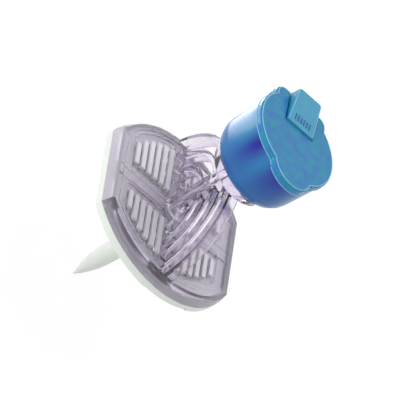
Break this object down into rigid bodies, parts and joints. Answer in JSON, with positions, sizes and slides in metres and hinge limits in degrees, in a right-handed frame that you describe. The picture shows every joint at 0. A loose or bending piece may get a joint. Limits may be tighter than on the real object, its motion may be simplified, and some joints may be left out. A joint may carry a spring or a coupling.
{
  "type": "vented dispensing spike",
  "caption": "Vial spike with a vented plate, a ribbed finger grip, and a capped female luer connector under a hinged lid.",
  "frame": {"origin": "on the spike's axis, at the underside of the base plate", "axes": "+Z along the spike's axis from its tip towards the cap; +Y towards the lid's hinge; the two plate flats face -X and +X"},
  "size_m": [0.0375, 0.044, 0.0687],
  "materials": {
    "white_plastic": "satin, slightly translucent",
    "filter_sheet": "matt",
    "clear_plastic": "clear, glossy, faint lavender tint",
    "blue_plastic": "satin",
    "blue_plastic_lid": "satin"
  },
  "bodies": {
    "housing": {"spike_base": "white_plastic", "filter_membrane": "filter_sheet", "clear_housing": "clear_plastic", "luer_connector": "clear_plastic", "cap_body": "blue_plastic"},
    "lid": {"cap_lid": "blue_plastic_lid"}
  },
  "joints": [
    {"name": "lid_hinge", "type": "hinge", "parent": "housing", "child": "lid", "pos_m": [-0.00065, 0.0122, 0.03845], "axis": [-1, 0, 0], "range_deg": [0, 150]}
  ]
}
